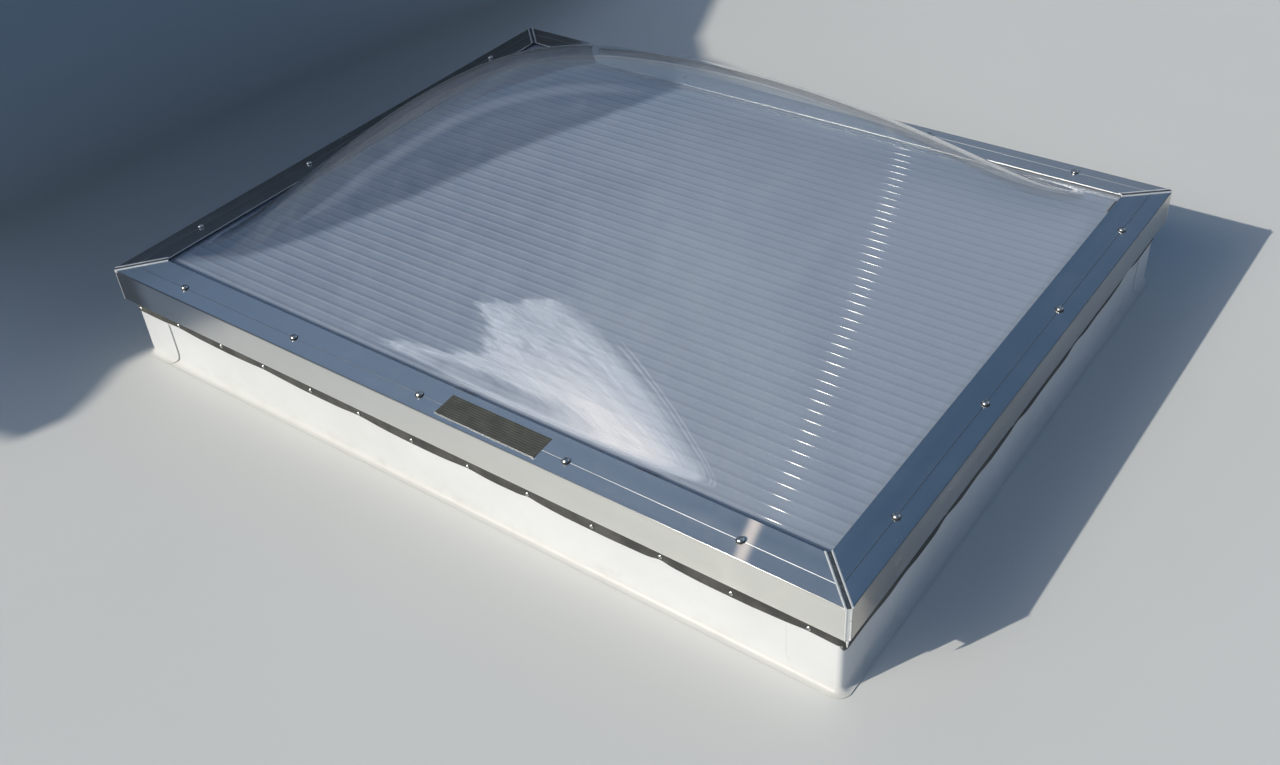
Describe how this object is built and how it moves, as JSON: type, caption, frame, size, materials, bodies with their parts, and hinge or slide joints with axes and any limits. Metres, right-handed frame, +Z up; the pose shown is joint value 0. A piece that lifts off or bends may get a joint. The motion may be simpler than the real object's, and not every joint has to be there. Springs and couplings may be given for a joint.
{
  "type": "roof skylight",
  "caption": "Fixed roof skylight: clear dome over a flat multiwall panel in a mitred aluminium cap frame, on a timber curb dressed in white membrane.",
  "frame": {"origin": "centre of the curb's underside, where it stands on the roof", "axes": "+X along the long side, +Y from the front side with the plate to the back, +Z up"},
  "size_m": [1.3146, 1.0356, 0.4008],
  "materials": {
    "mill_aluminium": "mill finish, lightly drawn",
    "frame_aluminium": "mill finish extrusion",
    "bead_metal": "bright dressed bead",
    "clear_acrylic": "clear, glossy, dusty film and light scuffs",
    "polycarbonate": "translucent, ribbed",
    "closure_foil": "satin foil",
    "stainless_steel": "bright",
    "galvanised_steel": "galvanised",
    "washer_rubber": "matt",
    "edge_rubber": "matt, weathered",
    "glazing_rubber": "satin",
    "glazing_tape": "matt",
    "foam_seal": "matt foam",
    "vinyl": "matt",
    "white_membrane": "matt sheet, slightly soiled at the foot",
    "timber": "sawn softwood",
    "dark_foil": "satin, bare"
  },
  "bodies": {
    "root": {"cap_rail_back": "mill_aluminium", "cap_rail_front": "mill_aluminium", "cap_rail_left": "mill_aluminium", "cap_rail_right": "mill_aluminium", "cap_screw_washers": "washer_rubber", "cap_screws": "stainless_steel", "corner_patch_back_left": "white_membrane", "corner_patch_back_right": "white_membrane", "corner_patch_front_left": "white_membrane", "corner_patch_front_right": "white_membrane", "curb_board_back": "timber", "curb_board_front": "timber", "curb_board_left": "timber", "curb_board_right": "timber", "curb_frame_back": "frame_aluminium", "curb_frame_front": "frame_aluminium", "curb_frame_keys": "frame_aluminium", "curb_frame_left": "frame_aluminium", "curb_frame_right": "frame_aluminium", "curb_frame_screws": "stainless_steel", "curb_nails": "galvanised_steel", "curb_seal_back": "foam_seal", "curb_seal_front": "foam_seal", "curb_seal_left": "foam_seal", "curb_seal_right": "foam_seal", "data_plate": "dark_foil", "dome": "clear_acrylic", "dome_tape_back": "glazing_tape", "dome_tape_front": "glazing_tape", "dome_tape_left": "glazing_tape", "dome_tape_right": "glazing_tape", "edge_strip_back": "edge_rubber", "edge_strip_front": "edge_rubber", "edge_strip_left": "edge_rubber", "edge_strip_right": "edge_rubber", "glazing_gasket_back": "glazing_rubber", "glazing_gasket_front": "glazing_rubber", "glazing_gasket_left": "glazing_rubber", "glazing_gasket_right": "glazing_rubber", "membrane_back": "white_membrane", "membrane_front": "white_membrane", "membrane_left": "white_membrane", "membrane_right": "white_membrane", "mitre_bead_back_left": "bead_metal", "mitre_bead_back_right": "bead_metal", "mitre_bead_front_left": "bead_metal", "mitre_bead_front_right": "bead_metal", "multiwall_panel": "polycarbonate", "panel_closure_left": "closure_foil", "panel_closure_right": "closure_foil", "panel_tape_back": "foam_seal", "panel_tape_front": "foam_seal", "panel_tape_left": "foam_seal", "panel_tape_right": "foam_seal", "strip_screws": "stainless_steel", "thermal_break_back": "vinyl", "thermal_break_front": "vinyl", "thermal_break_left": "vinyl", "thermal_break_right": "vinyl"}
  },
  "joints": []
}
